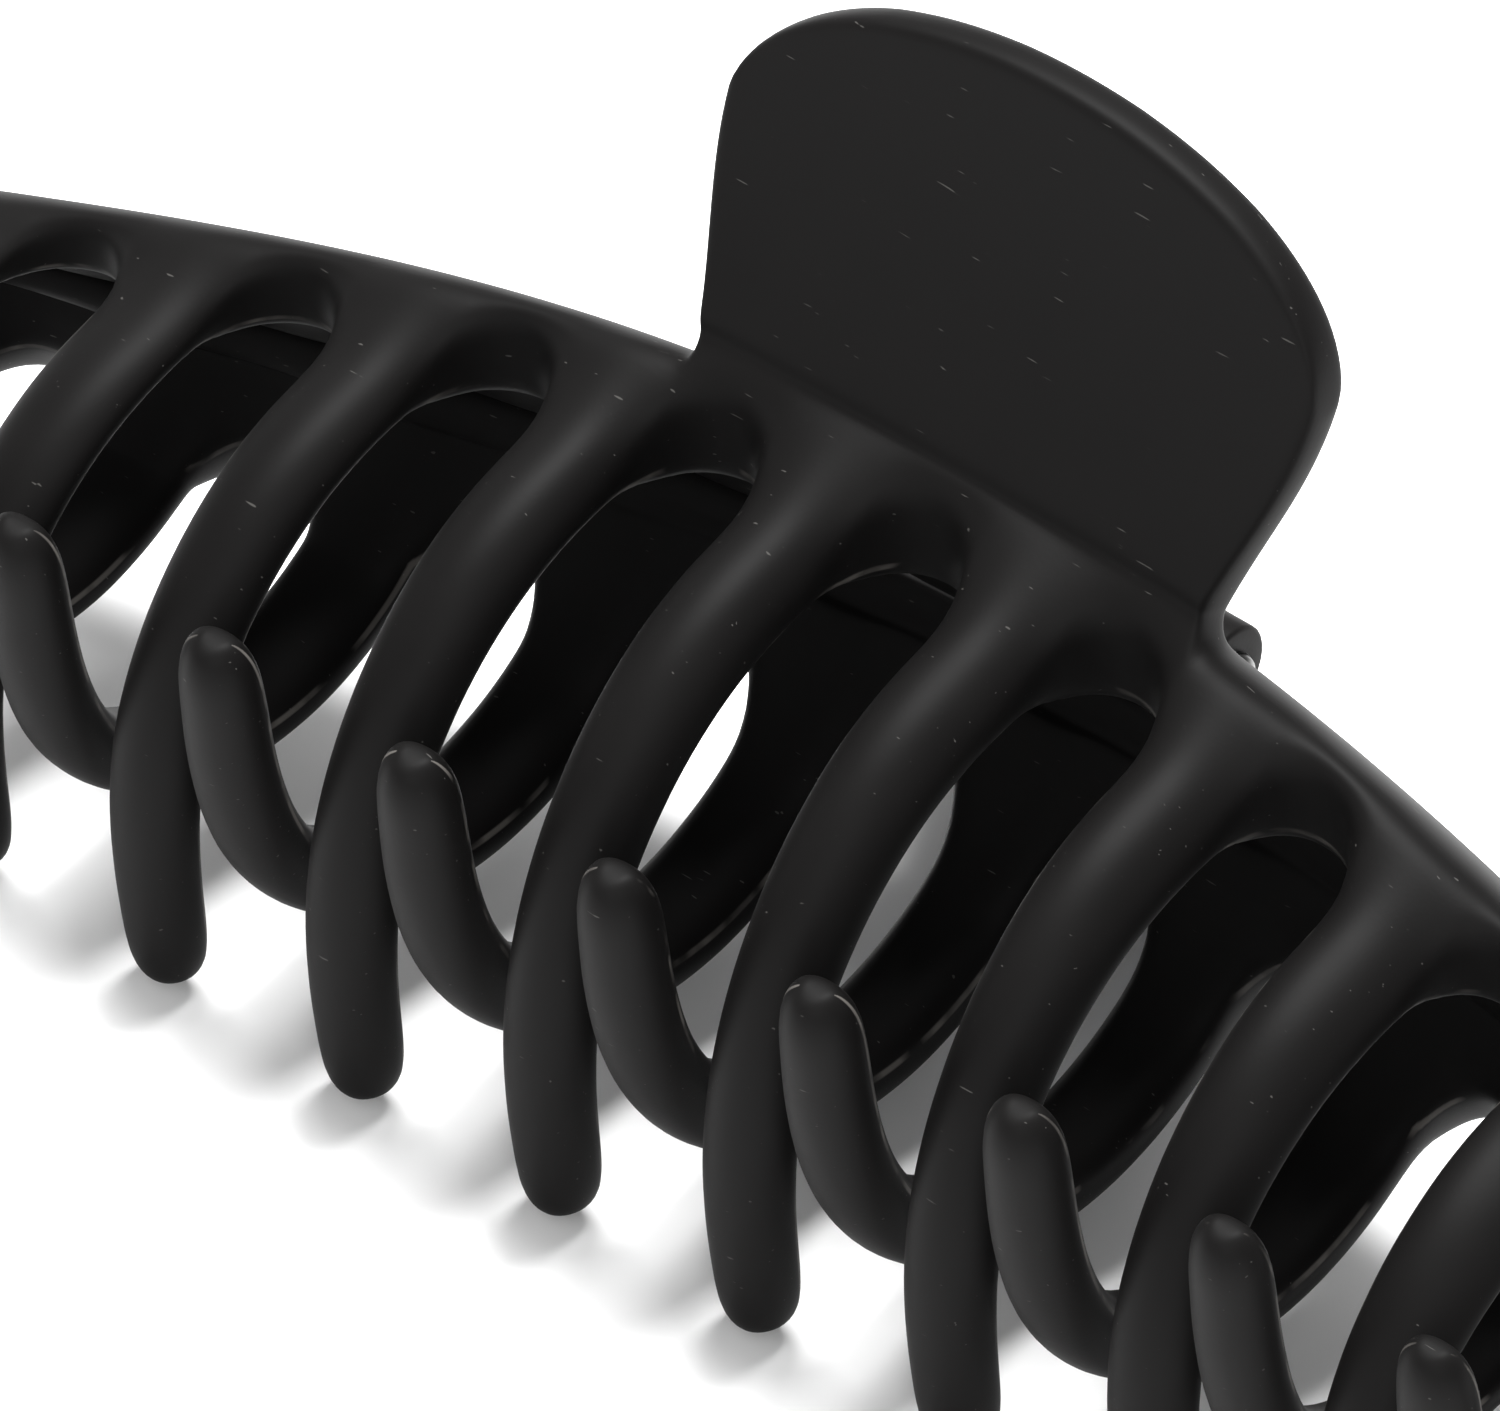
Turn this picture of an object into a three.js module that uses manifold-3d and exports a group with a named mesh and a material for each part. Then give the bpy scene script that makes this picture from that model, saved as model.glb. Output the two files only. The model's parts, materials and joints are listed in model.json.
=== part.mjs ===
// Jumbo claw clip for hair: two arched jaws with interleaved curved teeth, a D-shaped thumb
// tab on each jaw, and a sprung hinge between them.  Millimetres, +Z up.
//
// Each jaw is drawn upright in its own frame: X runs along the clip, +Y points back to the
// hinge and the tabs, -Y forward to the teeth, and +Z away from the other jaw, so the two
// jaws meet on the plane Z = 0.  The lower jaw is the same drawing turned half a turn about
// Y, except that its crest sits further back.  At the end the whole clip is tilted on to its
// side, as it lies on a table.

import * as THREE from "three";
import { mergeVertices } from "three/addons/utils/BufferGeometryUtils.js";
import Module from "manifold-3d";

const wasm = await Module();
wasm.setup();

// Teeth
const PITCH = 10.5; // from tooth to tooth along one jaw
const UPPER_TEETH = 10;
const LOWER_TEETH = 11;
const TOOTH_WIDTH = 4.0; // along X
const TOOTH_DEPTH = 3.7; // across the curve of the tooth
const TIP_ROUND = 2.2; // length over which a tip is rounded off

// Side profile of the middle line of a tooth
const CROWN_Y = 2.2; // the highest point of the curve
const CROWN_Z = 12.4;
const BACK_REACH = 13.2; // from the crown back to the hinge side
const FRONT_REACH = 15.0; // from the crown forward to the straight end of the tooth
const STRAIGHT_Z = -6.0; // where the straight end begins
const TIP_Z = -12.9; // the tips pass the middle plane by this much
const TIP_Y = CROWN_Y - FRONT_REACH;

// The spines are bowed: towards the ends of the clip each jaw gets shallower and lower
const UPPER_BOW = { back: 0.42, crown: 0.36 };
const LOWER_BOW = { back: 0.38, crown: 0.2 };
const BOW_RATE = 0.0284; // radians per mm along X

// The crest of the lower jaw, with its thumb tab, sits further back than the upper one
const LOWER_SWING = 24; // degrees round the middle of the barrel

// Spine plate
const SPINE_THICKNESS = 3.0;
const SPINE_START = 3.0; // degrees round the back curve, from the hinge side
const SPINE_END = 61.0;
const SPINE_OVERHANG = 2.0; // past the middle of the last tooth
const TOOTH_START = 62.6; // degrees, where a tooth leaves the spine

// Thumb tab, as on the upper jaw
const TAB_BASE_Y = 9.3; // middle of the front face at its foot
const TAB_BASE_Z = 15.6;
const UPPER_TAB_LEAN = THREE.MathUtils.degToRad(58); // from +Y up towards +Z
const LOWER_TAB_LEAN = THREE.MathUtils.degToRad(70); // before its crest is swung back
const TAB_THICKNESS = 2.6;
const TAB_HALF_BASE = 13.1;
const TAB_HALF_WIDTH = 15.1;
const TAB_WIDEST = 9.5; // height of the widest place above the foot
const TAB_HEIGHT = 17.7;

// Hinge
const HINGE_Y = 17.2;
const PIN_RADIUS = 0.8;
const PIN_HEAD_RADIUS = 1.5;
const PIN_HEAD_LENGTH = 0.8;
const BORE_RADIUS = 0.88;
const KNUCKLE_RADIUS = 2.4;
const KNUCKLE_WIDTH = 2.1;
const UPPER_KNUCKLE_X = 3.65; // middle of the pair next to the spring
const LOWER_KNUCKLE_X = 6.05; // middle of the outer pair
const NOTCH_HALF_WIDTH = 8.7; // gap in each spine round the knuckles
const NOTCH_HEIGHT = 3.1;

// Torsion spring
const WIRE_RADIUS = 0.4;
const COIL_RADIUS = 1.7; // to the middle of the wire
const COIL_HALF_LENGTH = 2.3;
const LEG_X = 1.9;
const LEG_UP_TAB = 3.0; // each leg ends this far above the foot of its tab

const GAP = 0.3; // left between touching pieces of one moulding

const upperPlan = {
  side: "upper",
  teeth: UPPER_TEETH,
  bow: UPPER_BOW,
  swing: 0,
  tabLean: UPPER_TAB_LEAN,
  knuckleX: UPPER_KNUCKLE_X,
};
const lowerPlan = {
  side: "lower",
  teeth: LOWER_TEETH,
  bow: LOWER_BOW,
  swing: LOWER_SWING,
  tabLean: LOWER_TAB_LEAN,
  knuckleX: LOWER_KNUCKLE_X,
};

const black = { color: 0x1d1c1c, roughness: 0.55, metalness: 0.0 };
const steel = { color: 0x3c3b3a, roughness: 0.4, metalness: 1.0 };

// ---------------------------------------------------------------- solids and meshes

function solidOf(geometry) {
  const plain = geometry.clone();
  plain.deleteAttribute("normal");
  plain.deleteAttribute("uv");
  const merged = mergeVertices(plain, 1e-4);
  return new wasm.Manifold(
    new wasm.Mesh({
      numProp: 3,
      vertProperties: new Float32Array(merged.attributes.position.array),
      triVerts: new Uint32Array(merged.index.array),
    }),
  );
}

function geometryOf(solid) {
  const mesh = solid.getMesh();
  const geometry = new THREE.BufferGeometry();
  geometry.setAttribute("position", new THREE.BufferAttribute(mesh.vertProperties, 3));
  geometry.setIndex(new THREE.BufferAttribute(mesh.triVerts, 1));
  geometry.computeVertexNormals();
  return geometry;
}

function namedMesh(name, geometry, finish) {
  const mesh = new THREE.Mesh(geometry, new THREE.MeshStandardMaterial(finish));
  mesh.name = name;
  return mesh;
}

// Turns a section drawn in Y and Z and extruded along Z, so that it runs along X.
function alongX(geometry) {
  const axes = new THREE.Matrix4().makeBasis(
    new THREE.Vector3(0, 1, 0),
    new THREE.Vector3(0, 0, 1),
    new THREE.Vector3(1, 0, 0),
  );
  return geometry.applyMatrix4(axes);
}

// ---------------------------------------------------------------- the bow of the spine

function bowScale(x, depth) {
  return 1 - depth * (1 - Math.cos(BOW_RATE * x));
}

// Moves every point of a straight jaw piece to its place on the bowed jaw.  The tips of the
// teeth stay in one line; the back comes forward and the crown comes down.
function bow(geometry, depth) {
  const place = geometry.attributes.position;
  for (let i = 0; i < place.count; i += 1) {
    const reach = bowScale(place.getX(i), depth.back);
    const height = bowScale(place.getX(i), depth.crown);
    const rise = (TIP_Z + height * (CROWN_Z - TIP_Z)) / CROWN_Z;
    const z = place.getZ(i);
    place.setY(i, TIP_Y + reach * (place.getY(i) - TIP_Y));
    place.setZ(i, z > 0 ? z * rise : z);
  }
  geometry.computeVertexNormals();
  return geometry;
}

// ---------------------------------------------------------------- teeth

// The middle line of a tooth: a quarter ellipse from the spine over the crown, a longer one
// down the front, and a straight end.
class ToothLine extends THREE.Curve {
  constructor(swing) {
    super();
    const points = [];
    const start = TOOTH_START - swing;
    const step = (90 - start) / Math.round((90 - start) / 7);
    for (let angle = start; angle < 90 - step / 2; angle += step) {
      const turn = THREE.MathUtils.degToRad(angle);
      const y = CROWN_Y + BACK_REACH * Math.cos(turn);
      points.push(new THREE.Vector3(0, y, CROWN_Z * Math.sin(turn)));
    }
    for (let angle = 90; angle <= 180; angle += 7.5) {
      const turn = THREE.MathUtils.degToRad(angle);
      const y = CROWN_Y + FRONT_REACH * Math.cos(turn);
      const z = STRAIGHT_Z + (CROWN_Z - STRAIGHT_Z) * Math.sin(turn);
      points.push(new THREE.Vector3(0, y, z));
    }
    points.push(new THREE.Vector3(0, TIP_Y, (STRAIGHT_Z + TIP_Z) / 2));
    points.push(new THREE.Vector3(0, TIP_Y, TIP_Z));
    this.line = new THREE.CatmullRomCurve3(points);
  }

  getPoint(t, target = new THREE.Vector3()) {
    return this.line.getPoint(t, target);
  }
}

// D-shaped section: a round outer side and a flatter inner side (+y in the shape).
function toothSection() {
  const half = TOOTH_WIDTH / 2;
  const outer = TOOTH_DEPTH / 2;
  return new THREE.Shape([
    new THREE.Vector2(half * 0.38, -outer),
    new THREE.Vector2(half * 0.85, -outer * 0.6),
    new THREE.Vector2(half, outer * 0.1),
    new THREE.Vector2(half * 0.7, outer),
    new THREE.Vector2(-half * 0.7, outer),
    new THREE.Vector2(-half, outer * 0.1),
    new THREE.Vector2(-half * 0.85, -outer * 0.6),
    new THREE.Vector2(-half * 0.38, -outer),
  ]);
}

function roundTip(geometry) {
  const place = geometry.attributes.position;
  for (let i = 0; i < place.count; i += 1) {
    const short = Math.max(0, TIP_Z + TIP_ROUND - place.getZ(i)) / TIP_ROUND;
    if (place.getY(i) < TIP_Y + TOOTH_DEPTH && short > 0) {
      const keep = Math.sqrt(Math.max(0.12, 1 - short * short));
      place.setX(i, place.getX(i) * keep);
      place.setY(i, TIP_Y + (place.getY(i) - TIP_Y) * keep);
    }
  }
  return geometry;
}

function toothGeometry(x, plan) {
  const path = new ToothLine(plan.swing);
  const options = { steps: 22, bevelEnabled: false, extrudePath: path };
  const bar = roundTip(new THREE.ExtrudeGeometry(toothSection(), options));
  bar.translate(x, 0, 0);
  return bow(bar, plan.bow);
}

// ---------------------------------------------------------------- spine

// The spine is the shell that carries the teeth: a curved plate round the back of the jaw.
// swell makes it thicker all round, for cutting its neighbours clear of it.
function spinePlate(plan, swell) {
  const halfLength = ((plan.teeth - 1) / 2) * PITCH + SPINE_OVERHANG;
  const start = THREE.MathUtils.degToRad(SPINE_START);
  const end = THREE.MathUtils.degToRad(SPINE_END - plan.swing);
  const half = SPINE_THICKNESS / 2 + swell;
  const section = new THREE.Shape();
  section.absellipse(CROWN_Y, 0, BACK_REACH + half, CROWN_Z + half, start, end, false);
  section.absellipse(CROWN_Y, 0, BACK_REACH - half, CROWN_Z - half, end, start, true);
  section.closePath();
  const options = { depth: 2 * halfLength, steps: 24, curveSegments: 8, bevelEnabled: false };
  const plate = alongX(new THREE.ExtrudeGeometry(section, options));
  plate.translate(-halfLength, 0, 0);
  return bow(plate, plan.bow);
}

function spineGeometry(plan) {
  const notch = new THREE.BoxGeometry(2 * NOTCH_HALF_WIDTH, 3 * NOTCH_HEIGHT, 2 * NOTCH_HEIGHT);
  notch.translate(0, HINGE_Y, 0);
  return geometryOf(solidOf(spinePlate(plan, 0)).subtract(solidOf(notch)));
}

// ---------------------------------------------------------------- thumb tab

function tabOutline() {
  const outline = new THREE.Shape();
  outline.moveTo(-TAB_HALF_BASE, 0);
  outline.lineTo(TAB_HALF_BASE, 0);
  outline.bezierCurveTo(
    TAB_HALF_BASE + 0.7, TAB_WIDEST / 3,
    TAB_HALF_WIDTH, TAB_WIDEST * 0.67,
    TAB_HALF_WIDTH, TAB_WIDEST,
  );
  outline.bezierCurveTo(
    TAB_HALF_WIDTH, TAB_WIDEST + 4.6,
    8.6, TAB_HEIGHT,
    0, TAB_HEIGHT,
  );
  outline.bezierCurveTo(
    -8.6, TAB_HEIGHT,
    -TAB_HALF_WIDTH, TAB_WIDEST + 4.6,
    -TAB_HALF_WIDTH, TAB_WIDEST,
  );
  outline.bezierCurveTo(
    -TAB_HALF_WIDTH, TAB_WIDEST * 0.67,
    -TAB_HALF_BASE - 0.7, TAB_WIDEST / 3,
    -TAB_HALF_BASE, 0,
  );
  outline.closePath();
  return outline;
}

function tabUp(lean) {
  return new THREE.Vector3(0, Math.cos(lean), Math.sin(lean));
}

function tabFront(lean) {
  return new THREE.Vector3(0, -Math.sin(lean), Math.cos(lean));
}

// The root under the tab fills the space between its foot and the crest of the spine.
function tabRoot(lean) {
  const back = new THREE.Vector3(0, TAB_BASE_Y, TAB_BASE_Z);
  back.addScaledVector(tabFront(lean), -TAB_THICKNESS);
  const side = new THREE.Shape();
  side.moveTo(TAB_BASE_Y, TAB_BASE_Z);
  side.lineTo(TAB_BASE_Y, TAB_BASE_Z - 3.0);
  side.lineTo(TAB_BASE_Y + 0.3, TAB_BASE_Z - 5.3);
  side.lineTo(TAB_BASE_Y + 2.9, TAB_BASE_Z - 6.7);
  side.lineTo(back.y + 1.4, back.z - 2.4);
  side.lineTo(back.y + 0.7 * Math.cos(lean), back.z + 0.7 * Math.sin(lean));
  side.lineTo(TAB_BASE_Y + 0.7, TAB_BASE_Z + 0.2);
  side.closePath();
  const options = { depth: 2 * TAB_HALF_BASE, bevelEnabled: false };
  const root = alongX(new THREE.ExtrudeGeometry(side, options));
  return root.translate(-TAB_HALF_BASE, 0, 0);
}

// Swings a piece of the crest round the middle of the barrel, towards the hinge.
function swingBack(geometry, swing) {
  geometry.translate(0, -CROWN_Y, 0);
  geometry.rotateX(-THREE.MathUtils.degToRad(swing));
  return geometry.translate(0, CROWN_Y, 0);
}

// The tab stands on the crest of the spine, with its thumb face towards the teeth.
function tabGeometry(plan) {
  const edge = 0.6;
  const plate = new THREE.ExtrudeGeometry(tabOutline(), {
    depth: TAB_THICKNESS - 2 * edge,
    curveSegments: 7,
    bevelThickness: edge,
    bevelSize: edge,
    bevelOffset: -edge,
    bevelSegments: 2,
  });
  plate.translate(0, 0, edge - TAB_THICKNESS);
  const along = new THREE.Vector3(1, 0, 0);
  const place = new THREE.Matrix4().makeBasis(along, tabUp(plan.tabLean), tabFront(plan.tabLean));
  place.setPosition(0, TAB_BASE_Y, TAB_BASE_Z);
  plate.applyMatrix4(place);
  const root = swingBack(tabRoot(plan.tabLean), plan.swing);
  const whole = solidOf(swingBack(plate, plan.swing)).add(solidOf(root));
  const body = whole.subtract(solidOf(spinePlate(plan, GAP)));
  const pieces = body.decompose();
  pieces.sort((a, b) => b.volume() - a.volume());
  return geometryOf(pieces[0]);
}

// ---------------------------------------------------------------- hinge

// A knuckle is an eye on the hinge line with a web up to the end of its spine.
function knuckleGeometry(x, plan) {
  const from = THREE.MathUtils.degToRad(205);
  const to = THREE.MathUtils.degToRad(75);
  const side = new THREE.Shape();
  side.moveTo(HINGE_Y + KNUCKLE_RADIUS * Math.cos(to), KNUCKLE_RADIUS * Math.sin(to));
  side.lineTo(HINGE_Y - 0.4, NOTCH_HEIGHT + 1.6);
  side.lineTo(HINGE_Y - 3.0, NOTCH_HEIGHT + 1.6);
  side.lineTo(HINGE_Y - 3.0, NOTCH_HEIGHT);
  side.lineTo(HINGE_Y + KNUCKLE_RADIUS * Math.cos(from), KNUCKLE_RADIUS * Math.sin(from));
  side.absarc(HINGE_Y, 0, KNUCKLE_RADIUS, from, to, false);
  const bore = new THREE.Path();
  bore.absarc(HINGE_Y, 0, BORE_RADIUS, 0, 2 * Math.PI, true);
  side.holes.push(bore);
  const options = { depth: KNUCKLE_WIDTH, curveSegments: 10, bevelEnabled: false };
  const eye = alongX(new THREE.ExtrudeGeometry(side, options));
  eye.translate(x - KNUCKLE_WIDTH / 2, 0, 0);
  const body = solidOf(eye).subtract(solidOf(spinePlate(plan, GAP)));
  const pieces = body.decompose();
  pieces.sort((a, b) => b.volume() - a.volume());
  return geometryOf(pieces[0]);
}

function pinGeometry() {
  const shank = LOWER_KNUCKLE_X + KNUCKLE_WIDTH / 2 + 0.15;
  const end = shank + PIN_HEAD_LENGTH;
  const profile = [
    new THREE.Vector2(0, -end),
    new THREE.Vector2(PIN_HEAD_RADIUS * 0.8, -end),
    new THREE.Vector2(PIN_HEAD_RADIUS, -end + 0.3),
    new THREE.Vector2(PIN_HEAD_RADIUS, -shank),
    new THREE.Vector2(PIN_RADIUS, -shank),
    new THREE.Vector2(PIN_RADIUS, shank),
    new THREE.Vector2(PIN_HEAD_RADIUS, shank),
    new THREE.Vector2(PIN_HEAD_RADIUS, end - 0.3),
    new THREE.Vector2(PIN_HEAD_RADIUS * 0.8, end),
    new THREE.Vector2(0, end),
  ];
  const pin = new THREE.LatheGeometry(profile, 20);
  pin.rotateZ(-Math.PI / 2);
  pin.translate(0, HINGE_Y, 0);
  return pin;
}

// One leg runs off the back of the coil and up to the inner face of a tab.
function springLeg(plan) {
  const end = new THREE.Vector3(0, TAB_BASE_Y - CROWN_Y, TAB_BASE_Z);
  end.addScaledVector(tabUp(plan.tabLean), LEG_UP_TAB);
  end.addScaledVector(tabFront(plan.tabLean), -(TAB_THICKNESS + GAP + WIRE_RADIUS));
  end.applyAxisAngle(new THREE.Vector3(1, 0, 0), -THREE.MathUtils.degToRad(plan.swing));
  end.y += CROWN_Y;
  const toY = HINGE_Y - end.y;
  const reach = Math.hypot(toY, end.z);
  const heading = Math.atan2(-end.z, toY) + Math.asin(COIL_RADIUS / reach);
  const length = Math.sqrt(reach * reach - COIL_RADIUS * COIL_RADIUS);
  const leg = new THREE.CylinderGeometry(WIRE_RADIUS, WIRE_RADIUS, length, 8);
  leg.rotateX(heading);
  leg.translate(
    LEG_X,
    end.y + (Math.cos(heading) * length) / 2,
    end.z + (Math.sin(heading) * length) / 2,
  );
  return leg;
}

function springGeometry() {
  const inner = COIL_RADIUS - WIRE_RADIUS;
  const outer = COIL_RADIUS + WIRE_RADIUS;
  const profile = [
    new THREE.Vector2(inner, -COIL_HALF_LENGTH),
    new THREE.Vector2(outer, -COIL_HALF_LENGTH),
    new THREE.Vector2(outer, COIL_HALF_LENGTH),
    new THREE.Vector2(inner, COIL_HALF_LENGTH),
    new THREE.Vector2(inner, -COIL_HALF_LENGTH),
  ];
  const coil = new THREE.LatheGeometry(profile, 24);
  coil.rotateZ(-Math.PI / 2);
  coil.translate(0, HINGE_Y, 0);
  const upperLeg = springLeg(upperPlan);
  const lowerLeg = springLeg(lowerPlan).rotateY(Math.PI);
  return geometryOf(solidOf(coil).add(solidOf(upperLeg)).add(solidOf(lowerLeg)));
}

// ---------------------------------------------------------------- the two jaws

function makeJaw(plan) {
  const jaw = new THREE.Group();
  const { side, teeth, knuckleX } = plan;
  jaw.add(namedMesh(`${side}_spine`, spineGeometry(plan), black));
  jaw.add(namedMesh(`${side}_thumb_tab`, tabGeometry(plan), black));
  for (let i = 0; i < teeth; i += 1) {
    const x = (i - (teeth - 1) / 2) * PITCH;
    const number = String(i + 1).padStart(2, "0");
    jaw.add(namedMesh(`${side}_tooth_${number}`, toothGeometry(x, plan), black));
  }
  jaw.add(namedMesh(`${side}_knuckle_left`, knuckleGeometry(-knuckleX, plan), black));
  jaw.add(namedMesh(`${side}_knuckle_right`, knuckleGeometry(knuckleX, plan), black));
  return jaw;
}

// The clip rests on the edge of its lower tab and on the tips of its upper teeth.  This
// finds the tilt about X at which both are equally low.
function lieDown(clip) {
  const tab = clip.getObjectByName("lower_thumb_tab");
  const tooth = clip.getObjectByName("upper_tooth_05");
  let low = 0;
  let high = Math.PI / 3;
  for (let i = 0; i < 40; i += 1) {
    clip.rotation.x = (low + high) / 2;
    clip.updateMatrixWorld(true);
    const tabLow = new THREE.Box3().setFromObject(tab, true).min.z;
    const toothLow = new THREE.Box3().setFromObject(tooth, true).min.z;
    if (tabLow < toothLow) {
      low = clip.rotation.x;
    } else {
      high = clip.rotation.x;
    }
  }
  const box = new THREE.Box3().setFromObject(clip, true);
  clip.position.set(0, -(box.min.y + box.max.y) / 2, -box.min.z);
}

const clip = new THREE.Group();
const lower = makeJaw(lowerPlan);
lower.rotation.y = Math.PI;
clip.add(lower);
clip.add(namedMesh("hinge_pin", pinGeometry(), steel));
clip.add(namedMesh("torsion_spring", springGeometry(), steel));
clip.add(makeJaw(upperPlan));
lieDown(clip);

const model = new THREE.Group();
model.add(clip);
model.updateMatrixWorld(true);

export default model;
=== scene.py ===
import json
import math

import bmesh
import bpy
from mathutils import Matrix, Vector


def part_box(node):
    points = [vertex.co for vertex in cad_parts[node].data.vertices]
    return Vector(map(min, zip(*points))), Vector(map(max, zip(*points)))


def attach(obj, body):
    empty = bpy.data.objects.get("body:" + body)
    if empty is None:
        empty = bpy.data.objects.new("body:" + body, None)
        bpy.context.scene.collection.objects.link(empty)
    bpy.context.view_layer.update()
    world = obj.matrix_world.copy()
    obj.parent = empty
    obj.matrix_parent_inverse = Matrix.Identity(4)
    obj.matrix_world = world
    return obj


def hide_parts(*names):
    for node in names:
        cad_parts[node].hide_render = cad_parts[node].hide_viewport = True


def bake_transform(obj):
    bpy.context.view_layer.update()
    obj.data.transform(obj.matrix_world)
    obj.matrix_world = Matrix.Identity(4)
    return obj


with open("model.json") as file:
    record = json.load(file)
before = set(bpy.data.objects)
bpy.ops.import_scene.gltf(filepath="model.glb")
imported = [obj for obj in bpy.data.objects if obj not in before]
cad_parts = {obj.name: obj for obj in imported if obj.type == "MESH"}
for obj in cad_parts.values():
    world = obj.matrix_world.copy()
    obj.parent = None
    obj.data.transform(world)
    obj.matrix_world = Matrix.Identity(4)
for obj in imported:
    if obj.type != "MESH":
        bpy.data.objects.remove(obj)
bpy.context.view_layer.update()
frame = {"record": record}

# ------------------------------------------------------------------ how the clip lies
# The clip lies on its side.  Every piece is drawn upright in millimetres, with X along the
# clip, +Y to the hinge and the tabs and the jaws meeting on Z = 0, and is then laid down by
# this one matrix.  The hinge pin and the flat of the upper tab give its place and its tilt.

HINGE_Y = 17.2
TAB_LEAN = math.radians(58)

thumb_face = next(m for m in frame["record"]["mounts"] if m["name"] == "upper_thumb_face")
pin_low, pin_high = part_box("hinge_pin")
pin_middle = (Vector(pin_low) + Vector(pin_high)) / 2
tilt = math.atan2(thumb_face["axis"][2], thumb_face["axis"][1]) - math.pi / 2 - TAB_LEAN
lie_down = (
    Matrix.Translation(pin_middle)
    @ Matrix.Rotation(tilt, 4, "X")
    @ Matrix.Scale(0.001, 4)
    @ Matrix.Translation(Vector((0, -HINGE_Y, 0)))
)
turn_over = Matrix.Rotation(math.pi, 4, "Y")

# ------------------------------------------------------------------ the camera
# A long lens looks down on the front of the clip, and crops the ends of both jaws.

LOOK_AZIMUTH = math.radians(44.0)
LOOK_ELEVATION = math.radians(50.5)
LOOK_ROLL = math.radians(6.74)
LOOK_DISTANCE = 1200.0
LOOK_ASIDE = Vector((2.63, -6.99))

ca, sa = math.cos(LOOK_AZIMUTH), math.sin(LOOK_AZIMUTH)
ce, se = math.cos(LOOK_ELEVATION), math.sin(LOOK_ELEVATION)
look_right = Vector((ca, sa, 0))
look_up = Vector((-se * sa, se * ca, ce))
look_back = Vector((ce * sa, -ce * ca, se))
look_from = look_back * LOOK_DISTANCE - look_right * LOOK_ASIDE.x - look_up * LOOK_ASIDE.y
cr, sr = math.cos(LOOK_ROLL), math.sin(LOOK_ROLL)
axes = Matrix((look_right * cr - look_up * sr, look_right * sr + look_up * cr, look_back))
camera = bpy.data.objects.new("camera", bpy.data.cameras.new("camera"))
camera.data.sensor_width = 36.0
camera.data.lens = 703.9
camera.data.clip_start = 0.1
camera.data.clip_end = 20.0
camera.matrix_world = (
    Matrix.Translation(lie_down @ look_from)
    @ Matrix.Rotation(tilt, 4, "X")
    @ axes.transposed().to_4x4()
)
bpy.context.scene.collection.objects.link(camera)
bpy.context.scene.camera = camera


# ------------------------------------------------------------------ the two jaws
# Each jaw is one moulding in black ABS with a soft matt coat: a bowed shell with a rail
# along its top, curved teeth that leave it between rounded arches, and a thumb tab that
# grows out of the rail.  The lower jaw is turned over, with a tooth more and its crest
# swung back towards the hinge.

PITCH = 10.5
BOW_RATE = 0.0284
CROWN_Y, CROWN_Z = 2.2, 12.4
BACK_REACH, FRONT_REACH = 13.2, 15.0
STRAIGHT_Z = -6.0
TIP_Y, TIP_Z = CROWN_Y - FRONT_REACH, -12.9
NOTCH_HALF = 9.3
NOTCH_WALL_Y = 14.75

# Distance from the middle of a tooth of the lines that the shell is drawn on
ACROSS = (0.0, 1.3, 2.5, 2.9, 3.9, 5.25)

# Outside of the shell from the parting edge up over the back to the rail
BACK_OUTSIDE = (
    (16.3, 0.15),
    (16.0, 3.1),
    (14.9, 6.0),
    (13.7, 8.8),
    (12.4, 11.4),
    (11.1, 13.9),
    (9.3, 15.7),
)
# The lip of the rail and the edge of an arch, for each of the lines in ACROSS
LIP_OUTSIDE = ((8.0, 15.4), (7.8, 15.2), (7.4, 14.75), (7.6, 14.55), (8.4, 14.5), (8.75, 14.5))
ARCH_OUTSIDE = ((5.6, 14.75), (5.6, 14.4), (5.5, 13.4), (6.9, 13.2), (8.2, 13.1), (8.6, 13.05))

BACK_INSIDE = (
    (13.9, 0.15),
    (13.6, 2.4),
    (12.9, 4.2),
    (12.0, 5.7),
    (11.1, 6.7),
    (10.3, 7.5),
    (9.7, 8.05),
)
LIP_INSIDE = ((7.0, 9.3), (7.1, 9.35), (7.5, 9.6), (7.9, 9.6), (8.7, 9.4), (9.0, 9.3))
ARCH_INSIDE = ((4.9, 10.4), (4.9, 10.5), (5.1, 10.9), (6.6, 10.6), (8.0, 10.2), (8.35, 10.1))
RIB_INSIDE = (0.15, 0.25, 0.4, 0.5, 0.6, 0.65, 0.7)
RIB_WEIGHT = (1.0, 0.92, 0.5, 0.3, 0.06, 0.0)

# How much of the swing of the lower crest each row of the shell takes
ROW_SWING = (0, 0, 0.35, 0.7, 0.95, 1, 1, 1, 1)

# Places along a tooth, in degrees round its curve; past 180 each degree is 0.2 mm straight
TOOTH_ROWS = (84, 92, 101, 110, 120, 130, 140, 150, 160, 170, 180, 190, 199, 206, 211, 213.5)
TIP_ROWS = {206: 0.93, 211: 0.72, 213.5: 0.36}
TOOTH_OUTSIDE = (2.15, 1.85, 0.5)
TOOTH_INSIDE = (1.75, 1.65, 1.0)

TAB_FOOT = Vector((9.3, 15.65))
TAB_HALF_BASE = 13.1
TAB_LEVELS = (0.02, 0.055, 0.16, 0.32, 0.5, 0.68, 0.84, 0.95, 1.0)
TAB_WIDTHS = ((0, 13.1), (2, 13.55), (4.1, 14.2), (6.2, 14.8), (8.2, 15.2), (10.3, 15.3))
TAB_SIDE = 10.3
TAB_TOP = 18.2
TAB_THICKNESS = 2.55
TAB_THINNING = 0.35
TAB_BASE_LEAN = 52.0

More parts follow.
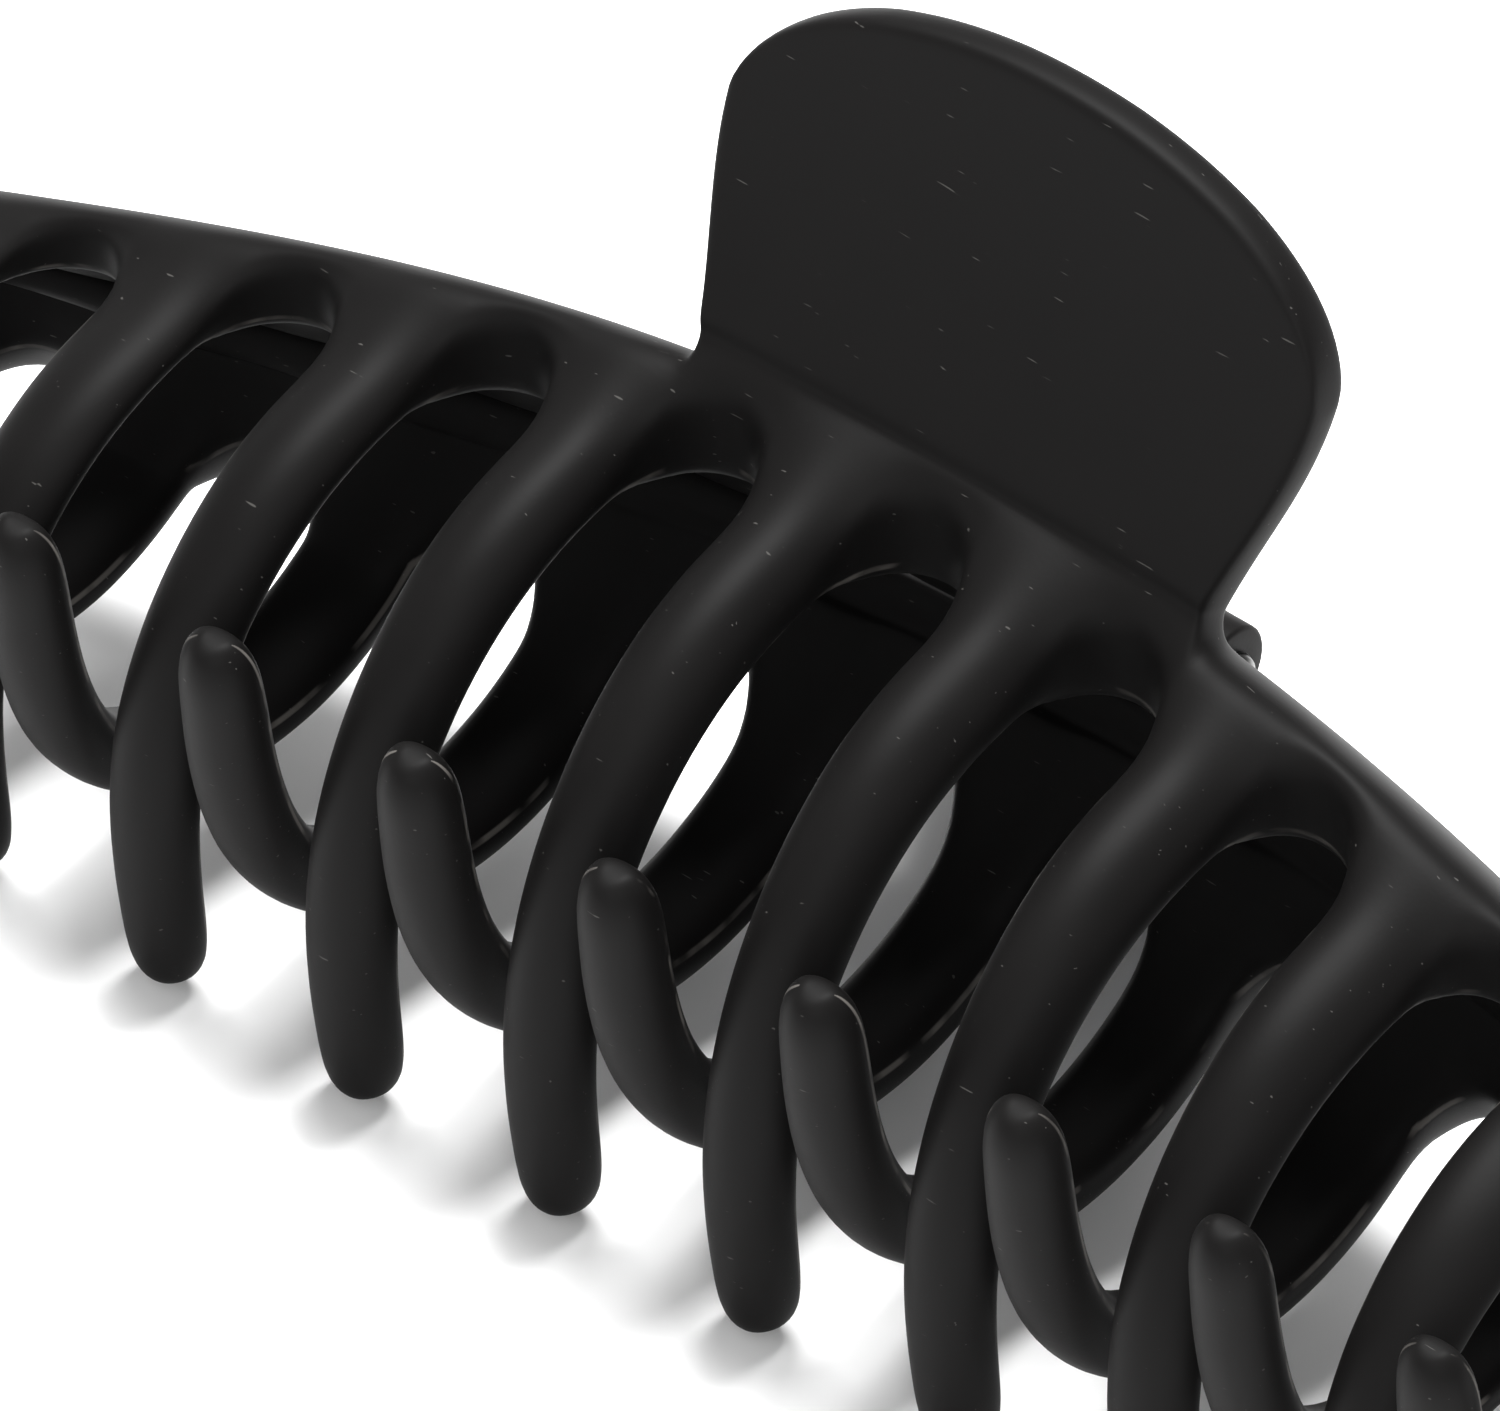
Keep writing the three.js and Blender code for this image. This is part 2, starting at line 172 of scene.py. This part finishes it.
# The lower tab stands steeper on its crest and a little shorter; the upper sits to one side
LOWER_TAB_RAISED = 12.0
LOWER_TAB_SHORT = 0.935
UPPER_TAB_ASIDE = 0.35


def middle_line(q):
    """Point on the middle line of a tooth and the direction out of the barrel there."""
    a = math.radians(q)
    if q <= 90:
        point = (CROWN_Y + BACK_REACH * math.cos(a), CROWN_Z * math.sin(a))
        out = Vector((math.cos(a) / BACK_REACH, math.sin(a) / CROWN_Z))
    elif q <= 180:
        rise = CROWN_Z - STRAIGHT_Z
        point = (CROWN_Y + FRONT_REACH * math.cos(a), STRAIGHT_Z + rise * math.sin(a))
        out = Vector((math.cos(a) / FRONT_REACH, math.sin(a) / rise))
    else:
        point = (TIP_Y, STRAIGHT_Z - 0.2 * (q - 180))
        out = Vector((-1, 0))
    return Vector(point), out.normalized()


def swung(y, z, degrees):
    """Turns a place on the crest back round the middle of the barrel."""
    a = math.radians(degrees)
    ahead = y - CROWN_Y
    return CROWN_Y + ahead * math.cos(a) + z * math.sin(a), z * math.cos(a) - ahead * math.sin(a)


def bowed(x, y, z, bow):
    """The tips stay in line; towards the ends the back comes forward and the crown down,
    by the two shares in bow."""
    back, crown = bow
    bend = 1 - math.cos(BOW_RATE * x)
    rise = (TIP_Z + (1 - crown * bend) * (CROWN_Z - TIP_Z)) / CROWN_Z
    return Vector((x, TIP_Y + (1 - back * bend) * (y - TIP_Y), z * rise if z > 0 else z))


def shell_point(x, step, row, inside, swing, bow):
    """Place of one crossing of the drawing lines.  step counts lines out from a tooth; bow
    holds the shares for the back, the arches and the crown."""
    if row < len(BACK_OUTSIDE):
        y, z = BACK_INSIDE[row] if inside else BACK_OUTSIDE[row]
        if inside:
            toward = Vector((CROWN_Y - y, -z)).normalized()
            y += toward.x * RIB_INSIDE[row] * RIB_WEIGHT[step]
            z += toward.y * RIB_INSIDE[row] * RIB_WEIGHT[step]
        elif row <= 1 and abs(x) < NOTCH_HALF:
            y = NOTCH_WALL_Y
    elif row == len(BACK_OUTSIDE):
        y, z = (LIP_INSIDE if inside else LIP_OUTSIDE)[step]
    else:
        y, z = (ARCH_INSIDE if inside else ARCH_OUTSIDE)[step]
    y, z = swung(y, z, swing * ROW_SWING[row] * (1 - 0.35 * min(1.0, abs(x) / 42) ** 2))
    back, arch, crown = bow
    return bowed(x, y, z, (back + (arch - back) * ROW_SWING[row], crown))


def tooth_point(x, middle, step, q, inside, bow):
    point, out = middle_line(q)
    along = max(0.0, (q - 95) / 105)
    slim = 1 - 0.24 * min(1.0, along)
    tip = TIP_ROWS.get(q, 1.0)
    depth = -TOOTH_INSIDE[step] if inside else TOOTH_OUTSIDE[step]
    place = point + out * depth * (1 - 0.14 * min(1.0, along)) * tip
    return bowed(middle + (x - middle) * slim * tip, place.x, place.y, bow[1:])


def tab_point(x, level, front, foot, aside, raised):
    """Place on the thumb tab before any swing: level runs from its foot, 0, to its rounded
    top, 1.  aside is its shift along X and raised the extra lean in degrees."""
    share = x / TAB_HALF_BASE
    side = level * TAB_SIDE
    half = TAB_WIDTHS[-1][1]
    for (low, a), (high, b) in zip(TAB_WIDTHS, TAB_WIDTHS[1:]):
        if low <= side <= high:
            half = a + (b - a) * (side - low) / (high - low)
    round_over = (1 - min(1.0, abs(share)) ** 2.0) ** 0.5
    height = level * (TAB_SIDE + (TAB_TOP - TAB_SIDE) * round_over)
    height *= LOWER_TAB_SHORT if raised else 1.0
    lean = math.radians(TAB_BASE_LEAN + raised + 7.0 * height / TAB_TOP)
    slope = math.radians(TAB_BASE_LEAN + raised + 14.0 * height / TAB_TOP)
    back = Vector((math.sin(slope), -math.cos(slope)))
    place = TAB_FOOT + Vector((math.cos(lean), math.sin(lean))) * height
    if not front:
        place += back * (TAB_THICKNESS - TAB_THINNING * level)
        settle = max(0.0, 1 - height / 3)
        place += (foot - TAB_FOOT - back * TAB_THICKNESS) * settle
    elif level < 0.03:
        place += back * 0.4
    return share * half - aside, place.x, place.y


def drawing_lines(teeth):
    """(x, middle of the nearest tooth, step) of each line along the jaw."""
    lines = []
    for i in range(teeth):
        middle = (i - (teeth - 1) / 2) * PITCH
        for step in range(len(ACROSS) - 1, 0, -1):
            if i > 0 and step < len(ACROSS) - 1 or step <= 2:
                lines.append((middle - ACROSS[step], middle, step))
        lines.append((middle, middle, 0))
        for step in range(1, len(ACROSS)):
            if i < teeth - 1 or step <= 2:
                lines.append((middle + ACROSS[step], middle, step))
    return lines


def make_jaw(name, teeth, swing, bow, place):
    lines = drawing_lines(teeth)
    web_rows = len(BACK_OUTSIDE) + 2
    tooth_rows = ((62, 70, 77) if swing else ()) + TOOTH_ROWS
    rows = web_rows + len(tooth_rows)
    bm = bmesh.new()
    bmesh.ops.create_grid(bm, x_segments=len(lines) - 1, y_segments=rows - 1, size=1.0)
    col_of = bm.verts.layers.int.new("line")
    row_of = bm.verts.layers.int.new("row")
    # per-vertex weight of the painted edge highlight
    painted_edge_highlight = bm.verts.layers.float.new("painted_edge_highlight")
    for v in bm.verts:
        v[col_of] = round((v.co.x + 1) / 2 * (len(lines) - 1))
        v[row_of] = round((v.co.y + 1) / 2 * (rows - 1))

    def in_slot(face):
        steps = [lines[v[col_of]][2] for v in face.verts]
        return min(v[row_of] for v in face.verts) >= web_rows - 1 and max(steps) > 2

    bmesh.ops.delete(bm, geom=[f for f in bm.faces if in_slot(f)], context="FACES")
    outside = bm.faces[:]
    wall = bmesh.ops.extrude_face_region(bm, geom=outside, use_keep_orig=True)
    inner = {v for v in wall["geom"] if isinstance(v, bmesh.types.BMVert)}
    outside = [f for f in outside if f.is_valid]
    for v in bm.verts:
        x, middle, step = lines[v[col_of]]
        if v[row_of] < web_rows:
            v.co = shell_point(x, step, v[row_of], v in inner, swing, bow)
        else:
            q = tooth_rows[v[row_of] - web_rows]
            v.co = tooth_point(x, middle, step, q, v in inner, bow)
        # painted highlight: pale lines are marked along one side edge of each tooth and along the
        # arch edges. The turned-over lower jaw is marked on its other side, so on both jaws they
        # lie on the same side.
        on_left = v[row_of] >= web_rows and (x > middle if swing else x < middle)
        if v[row_of] >= web_rows - 1 and step >= 2 and (v in inner) != on_left:
            v[painted_edge_highlight] = 1.0

    # the tab: the top of the rail is drawn up and out, level by level
    crest = [
        f
        for f in outside
        if {v[row_of] for v in f.verts} == {5, 6}
        and max(abs(lines[v[col_of]][0]) for v in f.verts) < TAB_HALF_BASE + 0.3
    ]
    widest = max(abs(lines[v[col_of]][0]) for f in crest for v in f.verts)
    back_foot = Vector(BACK_OUTSIDE[5])
    for level in TAB_LEVELS:
        grown = bmesh.ops.extrude_face_region(bm, geom=crest)
        bmesh.ops.delete(bm, geom=[f for f in crest if f.is_valid], context="FACES_ONLY")
        crest = [f for f in grown["geom"] if isinstance(f, bmesh.types.BMFace)]
        for v in {v for f in crest for v in f.verts}:
            x = lines[v[col_of]][0] * TAB_HALF_BASE / widest
            aside, raised = (0.0, LOWER_TAB_RAISED) if swing else (UPPER_TAB_ASIDE, 0.0)
            x, y, z = tab_point(x, level, v[row_of] == 6, back_foot, aside, raised)
            v.co = (x, *swung(y, z, swing))
    loose = [e for e in bm.edges if not e.link_faces]
    bmesh.ops.delete(bm, geom=loose, context="EDGES")
    bmesh.ops.delete(bm, geom=[v for v in bm.verts if not v.link_faces], context="VERTS")
    bmesh.ops.recalc_face_normals(bm, faces=bm.faces[:])
    bmesh.ops.transform(bm, matrix=place, verts=bm.verts[:])
    mesh = bpy.data.meshes.new(name)
    bm.to_mesh(mesh)
    bm.free()
    for face in mesh.polygons:
        face.use_smooth = True
    jaw = bpy.data.objects.new(name, mesh)
    bpy.context.scene.collection.objects.link(jaw)
    smooth = jaw.modifiers.new("smooth", "SUBSURF")
    smooth.levels = 2
    smooth.render_levels = 2
    return jaw


class Wire:
    """A shader socket that can be used in sums."""

    def __init__(self, nodes, socket):
        self.nodes, self.socket = nodes, socket

    def do(self, operation, *others):
        node = self.nodes.new("ShaderNodeMath")
        node.operation = operation
        for i, value in enumerate((self, *others)):
            put(self.nodes, node.inputs[i], value)
        return Wire(self.nodes, node.outputs[0])

    def __add__(self, other):
        return self.do("ADD", other)

    __radd__ = __add__

    def __mul__(self, other):
        return self.do("MULTIPLY", other)

    __rmul__ = __mul__

    def __sub__(self, other):
        return self.do("SUBTRACT", other)

    def __rsub__(self, other):
        return (self * -1.0) + other


def put(nodes, socket, value):
    if isinstance(value, Wire):
        nodes.id_data.links.new(value.socket, socket)
    else:
        socket.default_value = value


class Finish:
    """A material under construction."""

    def __init__(self, name):
        self.material = bpy.data.materials.new(name)
        self.material.use_nodes = True
        self.nodes = self.material.node_tree.nodes
        self.surface = self.nodes["Principled BSDF"]
        self.place = self.add("TexCoord", {}, {}, "Object")

    def add(self, kind, settings, sockets, out=0):
        node = self.nodes.new("ShaderNode" + kind)
        stops = settings.pop("stops", None)
        for key, value in settings.items():
            setattr(node, key, value)
        if stops:
            ramp = node.color_ramp
            while len(ramp.elements) < len(stops):
                ramp.elements.new(0.5)
            for element, (at, colour) in zip(ramp.elements, stops):
                element.position = at
                element.color = colour
        for key, value in sockets.items():
            put(self.nodes, node.inputs[key], value)
        return Wire(self.nodes, node.outputs[out])

    def set(self, **values):
        for key, value in values.items():
            put(self.nodes, self.surface.inputs[key.replace("_", " ")], value)


def grey(value):
    return (value, value, value, 1.0)


def soft_black(name):
    """Matt black coat: an even satin with faint mottling, a very fine grain, pale lines of painted
    highlight along one side edge of the teeth and along the arch edges, and a few specks of dust
    and hairline scuffs."""
    f = Finish(name)
    mottle = f.add("TexNoise", {}, {"Vector": f.place, "Scale": 160.0, "Detail": 4.0})
    grain = f.add("TexNoise", {}, {"Vector": f.place, "Scale": 5200.0, "Detail": 2.0})
    speck = f.add(
        "TexVoronoi", {"feature": "F1"}, {"Vector": f.place, "Scale": 330.0}, "Distance"
    )
    chance = f.add("TexVoronoi", {"feature": "F1"}, {"Vector": f.place, "Scale": 330.0}, "Color")
    lucky = f.add(
        "ValToRGB",
        {"stops": [(0.0, grey(0)), (0.86, grey(0)), (0.9, grey(1))]},
        {"Fac": chance},
    )
    dot = f.add(
        "ValToRGB",
        {"stops": [(0.0, grey(1)), (0.028, grey(1)), (0.045, grey(0))]},
        {"Fac": speck},
    )
    dust = dot * lucky
    stretched = f.add(
        "Mapping",
        {},
        {"Vector": f.place, "Rotation": (0.5, 0.9, 0.6), "Scale": (1.6, 16.0, 16.0)},
    )
    scuffs = f.add("TexNoise", {}, {"Vector": stretched, "Scale": 330.0, "Detail": 1.0})
    scuff = f.add(
        "ValToRGB", {"stops": [(0.0, grey(0)), (0.765, grey(0)), (0.79, grey(1))]}, {"Fac": scuffs}
    )
    # painted highlight: pale lines along the edges marked in make_jaw, broken into patches by
    # noise
    line = f.add("Attribute", {"attribute_name": "painted_edge_highlight"}, {}, "Fac")
    painted_highlight_mask = f.add(
        "ValToRGB",
        {"stops": [(0.0, grey(0)), (0.86, grey(0)), (0.93, grey(1))]},
        {"Fac": line},
    )
    broken = f.add("TexNoise", {}, {"Vector": f.place, "Scale": 420.0, "Detail": 2.0})
    patchy = f.add(
        "ValToRGB",
        {"stops": [(0.0, grey(0)), (0.42, grey(0)), (0.6, grey(1))]},
        {"Fac": broken},
    )
    base = f.add(
        "Mix",
        {"data_type": "RGBA"},
        {"Factor": mottle, "A": (0.0024, 0.0022, 0.0022, 1), "B": (0.0042, 0.0039, 0.0038, 1)},
        "Result",
    )
    # the painted highlight colour is mixed over the base colour
    highlighted_base = f.add(
        "Mix",
        {"data_type": "RGBA"},
        {"Factor": painted_highlight_mask * patchy * 0.5, "A": base, "B": (0.14, 0.13, 0.12, 1)},
        "Result",
    )
    dusty = f.add(
        "Mix",
        {"data_type": "RGBA"},
        {"Factor": dust * 0.6 + scuff * 0.12, "A": highlighted_base, "B": (0.32, 0.31, 0.29, 1)},
        "Result",
    )
    height = grain * 0.5 + mottle * 0.35 + dust * 1.5
    bump = f.add("Bump", {}, {"Strength": 0.12, "Distance": 0.00006, "Height": height}, "Normal")
    f.set(Base_Color=dusty, Roughness=mottle * 0.1 + 0.5, Normal=bump)
    f.surface.inputs["Specular IOR Level"].default_value = 0.07
    return f.material


black = soft_black("matt_black_coat")
jaws = {}
for side, teeth, swing, bow, place in (
    ("upper", 10, 0.0, (0.39, 0.35, 0.35), lie_down),
    ("lower", 11, 24.0, (0.39, 0.26, 0.2), lie_down @ turn_over),
):
    jaw = make_jaw(side + "_jaw_moulding", teeth, swing, bow, place)
    jaw.data.materials.append(black)
    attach(jaw, side + "_jaw")
    nodes = [side + "_spine", side + "_thumb_tab"]
    nodes += [side + "_tooth_%02d" % (i + 1) for i in range(teeth)]
    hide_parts(*nodes)
    side + "_jaw_plastic"
    jaws[side] = jaw

# ------------------------------------------------------------------ the knuckles
# Each jaw has two small eyes on the hinge line, moulded in one with the jaw, so they have
# the same coat.  A web runs from each eye into the edge of the shell.

KNUCKLE_RADIUS = 2.4
BORE_RADIUS = 0.87
KNUCKLE_WIDTH = 2.0
EYE_SIDES = 32


def make_knuckle(name, x, place):
    bm = bmesh.new()
    stand = Matrix.Translation((x - KNUCKLE_WIDTH / 2, HINGE_Y, 0)) @ Matrix(
        ((0, 0, 1, 0), (1, 0, 0, 0), (0, 1, 0, 0), (0, 0, 0, 1))
    )
    for radius in (KNUCKLE_RADIUS, BORE_RADIUS):
        bmesh.ops.create_circle(bm, segments=EYE_SIDES, radius=radius, matrix=stand)
    ring = bmesh.ops.bridge_loops(bm, edges=bm.edges[:])
    eye = bmesh.ops.extrude_face_region(bm, geom=ring["faces"], use_keep_orig=True)
    lifted = [v for v in eye["geom"] if isinstance(v, bmesh.types.BMVert)]
    bmesh.ops.translate(bm, vec=(KNUCKLE_WIDTH, 0, 0), verts=lifted)
    bmesh.ops.recalc_face_normals(bm, faces=bm.faces[:])
    root = []
    for f in bm.faces:
        centre = f.calc_center_median()
        angle = math.degrees(math.atan2(centre.z, centre.y - HINGE_Y))
        far = math.hypot(centre.z, centre.y - HINGE_Y) > KNUCKLE_RADIUS * 0.9
        if abs(f.normal.x) < 0.1 and far and 85 < angle < 178:
            root.append(f)
    web = bmesh.ops.extrude_face_region(bm, geom=root)
    for v in web["geom"]:
        if isinstance(v, bmesh.types.BMVert):
            angle = math.degrees(math.atan2(v.co.z, v.co.y - HINGE_Y))
            share = (angle - 85) / 93
            v.co.y = 16.0 - 2.0 * share
            v.co.z = 4.4
    rim = [e for e in bm.edges if len(e.link_faces) == 2 and e.calc_face_angle(0) > 1.0]
    bmesh.ops.bevel(
        bm, geom=rim, offset=0.22, segments=3, profile=0.5, affect="EDGES", material=-1
    )
    bmesh.ops.recalc_face_normals(bm, faces=bm.faces[:])
    bmesh.ops.transform(bm, matrix=place, verts=bm.verts[:])
    mesh = bpy.data.meshes.new(name)
    bm.to_mesh(mesh)
    bm.free()
    for face in mesh.polygons:
        face.use_smooth = True
    mesh.materials.append(black)
    knuckle = bpy.data.objects.new(name, mesh)
    bpy.context.scene.collection.objects.link(knuckle)
    return knuckle


for side, x, place in (("upper", 3.65, lie_down), ("lower", 6.05, lie_down @ turn_over)):
    for hand, sign in (("left", -1), ("right", 1)):
        knuckle = make_knuckle(side + "_hinge_eye_" + hand, sign * x, place)
        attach(knuckle, side + "_jaw")
        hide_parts(side + "_knuckle_" + hand)
        side + "_jaw_plastic"

# ------------------------------------------------------------------ the hinge pin
# A blackened steel wire pin, pushed through the four eyes and headed at both ends.

PIN_RADIUS = 0.8
PIN_HALF = 7.1


def blackened_steel(name, tone):
    """Drawn wire with a black finish: fine lines round the wire and a little wear."""
    f = Finish(name)
    drawn = f.add("TexNoise", {}, {"Vector": f.place, "Scale": 2600.0, "Detail": 3.0})
    tarnish = f.add("TexNoise", {}, {"Vector": f.place, "Scale": 380.0, "Detail": 4.0})
    colour = f.add(
        "Mix",
        {"data_type": "RGBA"},
        {
            "Factor": tarnish,
            "A": (tone, tone, tone * 0.98, 1),
            "B": (tone * 0.7, tone * 0.68, tone * 0.64, 1),
        },
        "Result",
    )
    bump = f.add("Bump", {}, {"Strength": 0.15, "Distance": 0.00002, "Height": drawn}, "Normal")
    f.set(Base_Color=colour, Roughness=tarnish * 0.25 + 0.18, Normal=bump)
    f.surface.inputs["Metallic"].default_value = 1.0
    return f.material


def make_pin():
    bm = bmesh.new()
    half = (
        (0.0, -PIN_HALF - 0.75),
        (0.7, -PIN_HALF - 0.68),
        (1.15, -PIN_HALF - 0.45),
        (1.3, -PIN_HALF - 0.12),
        (1.25, -PIN_HALF),
        (PIN_RADIUS, -PIN_HALF + 0.05),
    )
    outline = list(half) + [(r, -x) for r, x in reversed(half)]
    verts = [bm.verts.new((x, HINGE_Y + r, 0)) for r, x in outline]
    for a, b in zip(verts, verts[1:]):
        bm.edges.new((a, b))
    bmesh.ops.spin(
        bm,
        geom=bm.verts[:] + bm.edges[:],
        cent=(0, HINGE_Y, 0),
        axis=(1, 0, 0),
        angle=math.tau,
        steps=32,
        use_merge=True,
    )
    bmesh.ops.remove_doubles(bm, verts=bm.verts[:], dist=0.001)
    bmesh.ops.recalc_face_normals(bm, faces=bm.faces[:])
    bmesh.ops.transform(bm, matrix=lie_down, verts=bm.verts[:])
    mesh = bpy.data.meshes.new("hinge_wire_pin")
    bm.to_mesh(mesh)
    bm.free()
    for face in mesh.polygons:
        face.use_smooth = True
    mesh.materials.append(blackened_steel("blackened_pin", 0.045))
    pin = bpy.data.objects.new("hinge_wire_pin", mesh)
    bpy.context.scene.collection.objects.link(pin)
    return pin


pin = make_pin()
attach(pin, "lower_jaw")
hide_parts("hinge_pin")

# ------------------------------------------------------------------ the spring
# A torsion spring of blackened wire is wound round the pin between the inner eyes.  One leg
# presses up behind each thumb tab and holds the jaws shut.

WIRE_RADIUS = 0.4
COIL_RADIUS = 1.62
COIL_TURNS = 5
COIL_HALF = 2.05
# Where each leg leaves the coil, in degrees, and how long it is: lower, then upper
LEGS = ((-1, math.radians(-3.05), 10.3), (1, math.radians(17.6), 16.5))


def make_spring():
    bm = bmesh.new()
    start = -LEGS[0][1]
    radial = Vector((0, math.cos(start), math.sin(start)))
    tangent = Vector((0, -math.sin(start), math.cos(start)))
    along = Vector((1, 0, 0))
    frame_at = Matrix((along, radial, tangent)).transposed().to_4x4()
    centre = Vector((-COIL_HALF, HINGE_Y, 0)) + radial * COIL_RADIUS
    section = bmesh.ops.create_circle(
        bm, segments=12, radius=WIRE_RADIUS, matrix=Matrix.Translation(centre) @ frame_at
    )
    first = section["verts"]
    first_edges = bm.edges[:]
    sweep = COIL_TURNS * math.tau + LEGS[0][1] + LEGS[1][1]
    steps = COIL_TURNS * 24
    coil = bmesh.ops.spin(
        bm,
        geom=first + first_edges,
        cent=(0, HINGE_Y, 0),
        axis=(1, 0, 0),
        dvec=(2 * COIL_HALF / steps, 0, 0),
        angle=sweep,
        steps=steps,
    )
    last_edges = [e for e in coil["geom_last"] if isinstance(e, bmesh.types.BMEdge)]
    for edges, (way, leave, reach) in ((first_edges, LEGS[0]), (last_edges, LEGS[1])):
        angle = leave * way
        heading = Vector((0, -math.sin(angle) * way, math.cos(angle) * way))
        for length in (reach * 0.12, reach * 0.83, reach * 0.05):
            leg = bmesh.ops.extrude_edge_only(bm, edges=edges)
            tip = [v for v in leg["geom"] if isinstance(v, bmesh.types.BMVert)]
            edges = [e for e in leg["geom"] if isinstance(e, bmesh.types.BMEdge)]
            edges = [e for e in edges if e.verts[0] in tip and e.verts[1] in tip]
            bmesh.ops.translate(bm, vec=heading * length, verts=tip)
        middle = sum((v.co for v in tip), Vector()) / len(tip)
        for v in tip:
            v.co = middle + (v.co - middle) * 0.6
        bmesh.ops.contextual_create(bm, geom=edges)
    bmesh.ops.recalc_face_normals(bm, faces=bm.faces[:])
    bmesh.ops.transform(bm, matrix=lie_down, verts=bm.verts[:])
    mesh = bpy.data.meshes.new("wound_spring")
    bm.to_mesh(mesh)
    bm.free()
    for face in mesh.polygons:
        face.use_smooth = True
    mesh.materials.append(blackened_steel("spring_wire", 0.055))
    spring = bpy.data.objects.new("wound_spring", mesh)
    bpy.context.scene.collection.objects.link(spring)
    return spring


spring = make_spring()
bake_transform(spring)
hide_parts("torsion_spring")

# ------------------------------------------------------------------ table and lights
# A plain white table top under a large soft overhead light, with a weaker one in front.


def make_table():
    bm = bmesh.new()
    bmesh.ops.create_grid(bm, x_segments=1, y_segments=1, size=6.0)
    mesh = bpy.data.meshes.new("table_top")
    bm.to_mesh(mesh)
    bm.free()
    f = Finish("white_table")
    f.surface.inputs["Base Color"].default_value = (0.93, 0.93, 0.93, 1)
    f.surface.inputs["Roughness"].default_value = 0.85
    mesh.materials.append(f.material)
    table = bpy.data.objects.new("table_top", mesh)
    bpy.context.scene.collection.objects.link(table)
    return table


table = make_table()


def soft_light(name, place, aim, size, power):
    light = bpy.data.lights.new(name, "AREA")
    light.shape = "RECTANGLE"
    light.size, light.size_y = size
    light.energy = power
    lamp = bpy.data.objects.new(name, light)
    lamp.location = place
    lamp.rotation_mode = "QUATERNION"
    lamp.rotation_quaternion = (Vector(aim) - Vector(place)).to_track_quat("-Z", "Y")
    bpy.context.scene.collection.objects.link(lamp)


soft_light("overhead", (-0.15, 0.1, 0.9), (0, 0, 0.02), (0.6, 0.4), 24.0)
soft_light("front", (0.5, -0.9, 0.6), (0, 0, 0.02), (0.8, 0.5), 5.0)

world = bpy.data.worlds.new("studio")
world.use_nodes = True
world.node_tree.nodes["Background"].inputs["Color"].default_value = (1, 1, 1, 1)
world.node_tree.nodes["Background"].inputs["Strength"].default_value = 0.75
bpy.context.scene.world = world
bpy.context.scene.view_settings.view_transform = "Standard"
